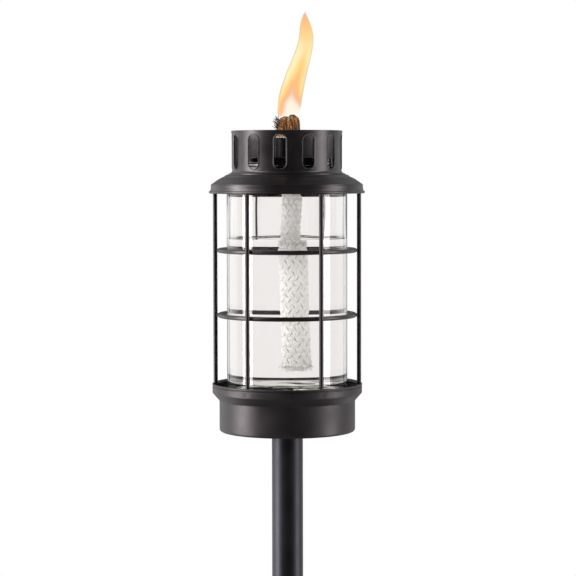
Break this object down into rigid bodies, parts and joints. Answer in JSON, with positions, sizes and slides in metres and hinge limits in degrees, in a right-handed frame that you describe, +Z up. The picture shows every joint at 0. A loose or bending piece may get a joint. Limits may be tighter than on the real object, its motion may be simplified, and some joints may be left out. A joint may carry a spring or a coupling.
{
  "type": "tiki torch",
  "caption": "Garden oil torch: a glass lantern in a black wire cage with a slotted flame guard, on a sectional pole with a ground stake.",
  "frame": {"origin": "on the pole's axis at ground level, at the underside of the foot plate", "axes": "+Z up along the pole; -Y is the front of the lantern; +X to the right seen from the front"},
  "size_m": [0.127, 0.1268, 1.7476],
  "materials": {
    "powder_coat": "satin",
    "pole_coat": "satin",
    "stake_coat": "satin",
    "lid_enamel": "gloss",
    "tube_steel": "satin",
    "socket_zinc": "satin",
    "rivet_steel": "satin",
    "pad_rubber": "matte",
    "gasket_rubber": "matte",
    "clear_glass": "gloss",
    "lamp_oil": "gloss",
    "wick_glass_fibre": "matte",
    "flame_gas": "matte"
  },
  "bodies": {
    "ground_stake": {"stake_socket": "stake_coat", "foot_plate": "stake_coat", "stake_blade_a": "stake_coat", "stake_blade_b": "stake_coat"},
    "lower_pole": {"lower_pole": "pole_coat"},
    "middle_pole": {"middle_pole": "pole_coat"},
    "upper_pole": {"upper_pole": "pole_coat"},
    "lantern_base": {"base_cup": "powder_coat", "jar_seat": "powder_coat", "jar_pad": "pad_rubber", "pole_socket": "socket_zinc", "socket_rivets": "rivet_steel", "cage_rod_1": "powder_coat", "cage_rod_2": "powder_coat", "cage_rod_3": "powder_coat", "cage_rod_4": "powder_coat", "cage_rod_5": "powder_coat", "cage_rod_6": "powder_coat", "lower_cage_ring": "powder_coat", "upper_cage_ring": "powder_coat", "cage_top_ring": "powder_coat"},
    "jar": {"glass_jar": "clear_glass", "lamp_oil": "lamp_oil"},
    "hood": {"lantern_top": "powder_coat", "flame_guard": "powder_coat"},
    "lid": {"jar_lid": "lid_enamel", "lid_gasket": "gasket_rubber", "wick_tube": "tube_steel"},
    "screw_band": {"lid_band": "lid_enamel"},
    "wick": {"wick": "wick_glass_fibre", "flame": "flame_gas"}
  },
  "joints": [
    {"name": "lower_pole_pull", "type": "slide", "parent": "ground_stake", "child": "lower_pole", "axis": [0, 0, 1], "range_m": [0, 0.06]},
    {"name": "middle_pole_pull", "type": "slide", "parent": "lower_pole", "child": "middle_pole", "axis": [0, 0, 1], "range_m": [0, 0.045]},
    {"name": "upper_pole_pull", "type": "slide", "parent": "middle_pole", "child": "upper_pole", "axis": [0, 0, 1], "range_m": [0, 0.045]},
    {"name": "lantern_lift", "type": "slide", "parent": "upper_pole", "child": "lantern_base", "axis": [0, 0, 1], "range_m": [0, 0.03]},
    {"name": "jar_lift", "type": "slide", "parent": "lantern_base", "child": "jar", "axis": [0, 0, 1], "range_m": [0, 0.18]},
    {"name": "hood_lift", "type": "slide", "parent": "jar", "child": "hood", "axis": [0, 0, 1], "range_m": [0, 0.12]},
    {"name": "lid_rise", "type": "slide", "parent": "jar", "child": "lid", "axis": [0, 0, 1], "range_m": [0, 0.0077]},
    {"name": "band_turn", "type": "hinge", "parent": "lid", "child": "screw_band", "pos_m": [0, 0, 1.4324], "axis": [0, 0, 1], "range_deg": [0, 1080]},
    {"name": "wick_adjust", "type": "slide", "parent": "lid", "child": "wick", "axis": [0, 0, 1], "range_m": [-0.007, 0.012]}
  ],
  "couplings": [
    {"joint": "lid_rise", "follows": "band_turn", "m_per_rad": 0.00039789}
  ]
}
